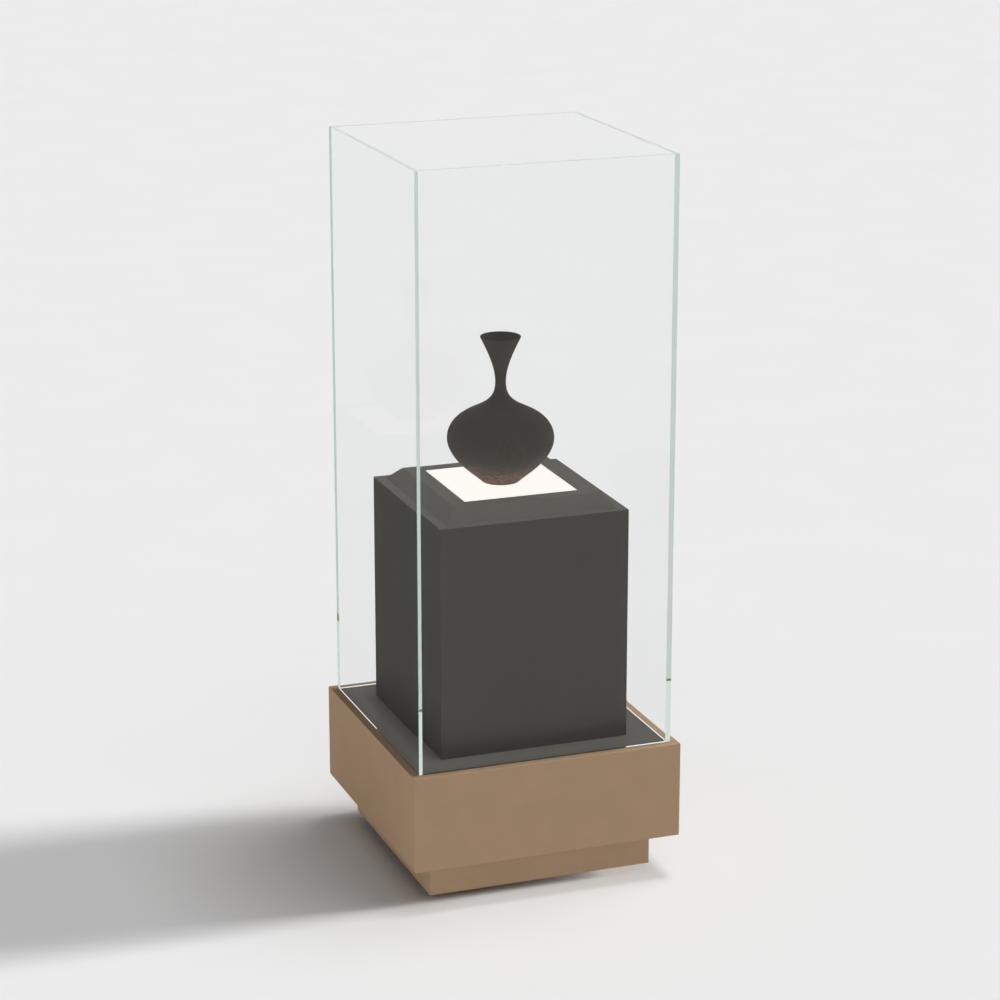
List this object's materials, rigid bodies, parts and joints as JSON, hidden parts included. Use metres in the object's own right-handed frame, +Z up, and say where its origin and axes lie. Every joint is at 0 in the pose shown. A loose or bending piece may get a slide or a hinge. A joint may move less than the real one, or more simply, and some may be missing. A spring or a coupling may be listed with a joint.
{
  "type": "museum display case",
  "caption": "Floor-standing display case: clear four-sided acrylic hood, open-topped, that lifts off a tan base over a charcoal plinth with a lit cap.",
  "frame": {"origin": "on the floor, under the middle of the case", "axes": "+Z up; -Y is the front, +X to the right as seen from the front; the case is square and the same on all four sides outside"},
  "size_m": [0.6, 0.6, 1.577],
  "materials": {
    "tan_lacquer": "satin tan lacquer with a fine grain, over board",
    "charcoal_lacquer": "semi-gloss charcoal lacquer over board",
    "raw_board": "unfinished sawn board, hidden inside",
    "hardwood": "planed hardwood, hidden inside",
    "acrylic": "clear cast acrylic, polished faces and mitred edges",
    "seal_rubber": "black glazing strip",
    "opal_diffuser": "opal acrylic, lit from behind",
    "tray_aluminium": "folded sheet, mill finish",
    "led_white": "white solder mask",
    "led_chip": "phosphor-coated lamp chips",
    "driver_case": "moulded pale grey",
    "black_plastic": "moulded black nylon",
    "lead_jacket": "round two-core lead",
    "zinc_steel": "zinc-plated steel",
    "foot_plastic": "moulded black nylon",
    "vase_clay": "unglazed dark clay with brown speckle low down"
  },
  "bodies": {
    "base": {"base_panel_back": "tan_lacquer", "base_panel_front": "tan_lacquer", "base_panel_left": "tan_lacquer", "base_panel_right": "tan_lacquer", "block_screws": "zinc_steel", "bottom_board": "raw_board", "cable_gland": "black_plastic", "cap_cleats": "raw_board", "corner_blocks": "raw_board", "deck_battens": "raw_board", "deck_panel": "charcoal_lacquer", "deck_screws": "zinc_steel", "driver_screws": "zinc_steel", "foot_blocks": "hardwood", "foot_inserts": "zinc_steel", "foot_lock_nuts": "zinc_steel", "gland_nut": "black_plastic", "hood_gasket": "seal_rubber", "lamp_driver": "driver_case", "lamp_lead": "lead_jacket", "lead_clips": "black_plastic", "light_socket": "black_plastic", "plinth_foot_cleats": "raw_board", "plinth_panel_back": "charcoal_lacquer", "plinth_panel_front": "charcoal_lacquer", "plinth_panel_left": "charcoal_lacquer", "plinth_panel_right": "charcoal_lacquer", "plinth_screws": "zinc_steel", "toe_kick_back": "tan_lacquer", "toe_kick_front": "tan_lacquer", "toe_kick_left": "tan_lacquer", "toe_kick_right": "tan_lacquer"},
    "hood": {"hood_pane_front": "acrylic", "hood_pane_right": "acrylic", "hood_pane_back": "acrylic", "hood_pane_left": "acrylic"},
    "cap": {"cap_board": "raw_board", "cap_screws": "zinc_steel", "light_tray": "tray_aluminium", "led_board": "led_white", "led_chips": "led_chip", "light_diffuser": "opal_diffuser", "light_plug": "black_plastic", "cap_bevel_front": "charcoal_lacquer", "cap_bevel_right": "charcoal_lacquer", "cap_bevel_back": "charcoal_lacquer", "cap_bevel_left": "charcoal_lacquer"},
    "exhibit": {"exhibit_vase": "vase_clay"},
    "foot_front_left": {"foot_pad_front_left": "foot_plastic"},
    "stem_front_left": {"foot_stem_front_left": "zinc_steel"},
    "foot_front_right": {"foot_pad_front_right": "foot_plastic"},
    "stem_front_right": {"foot_stem_front_right": "zinc_steel"},
    "foot_back_right": {"foot_pad_back_right": "foot_plastic"},
    "stem_back_right": {"foot_stem_back_right": "zinc_steel"},
    "foot_back_left": {"foot_pad_back_left": "foot_plastic"},
    "stem_back_left": {"foot_stem_back_left": "zinc_steel"}
  },
  "joints": [
    {"name": "hood_lift", "type": "slide", "parent": "base", "child": "hood", "axis": [0, 0, 1], "range_m": [0, 0.9]},
    {"name": "cap_lift", "type": "slide", "parent": "base", "child": "cap", "axis": [0, 0, 1], "range_m": [0, 0.06]},
    {"name": "exhibit_lift", "type": "slide", "parent": "cap", "child": "exhibit", "axis": [0, 0, 1], "range_m": [0, 0.1]},
    {"name": "foot_height_front_left", "type": "slide", "parent": "base", "child": "foot_front_left", "axis": [0, 0, -1], "range_m": [0, 0.012]},
    {"name": "stem_turn_front_left", "type": "hinge", "parent": "foot_front_left", "child": "stem_front_left", "pos_m": [-0.16, -0.16, 0.04], "axis": [0, 0, -1], "range_deg": [-2, 3460]},
    {"name": "foot_height_front_right", "type": "slide", "parent": "base", "child": "foot_front_right", "axis": [0, 0, -1], "range_m": [0, 0.012]},
    {"name": "stem_turn_front_right", "type": "hinge", "parent": "foot_front_right", "child": "stem_front_right", "pos_m": [0.16, -0.16, 0.04], "axis": [0, 0, -1], "range_deg": [-2, 3460]},
    {"name": "foot_height_back_right", "type": "slide", "parent": "base", "child": "foot_back_right", "axis": [0, 0, -1], "range_m": [0, 0.012]},
    {"name": "stem_turn_back_right", "type": "hinge", "parent": "foot_back_right", "child": "stem_back_right", "pos_m": [0.16, 0.16, 0.04], "axis": [0, 0, -1], "range_deg": [-2, 3460]},
    {"name": "foot_height_back_left", "type": "slide", "parent": "base", "child": "foot_back_left", "axis": [0, 0, -1], "range_m": [0, 0.012]},
    {"name": "stem_turn_back_left", "type": "hinge", "parent": "foot_back_left", "child": "stem_back_left", "pos_m": [-0.16, 0.16, 0.04], "axis": [0, 0, -1], "range_deg": [-2, 3460]}
  ],
  "couplings": [
    {"joint": "stem_turn_front_left", "follows": "foot_height_front_left", "rad_per_m": 5026.5},
    {"joint": "stem_turn_front_right", "follows": "foot_height_front_right", "rad_per_m": 5026.5},
    {"joint": "stem_turn_back_right", "follows": "foot_height_back_right", "rad_per_m": 5026.5},
    {"joint": "stem_turn_back_left", "follows": "foot_height_back_left", "rad_per_m": 5026.5}
  ]
}
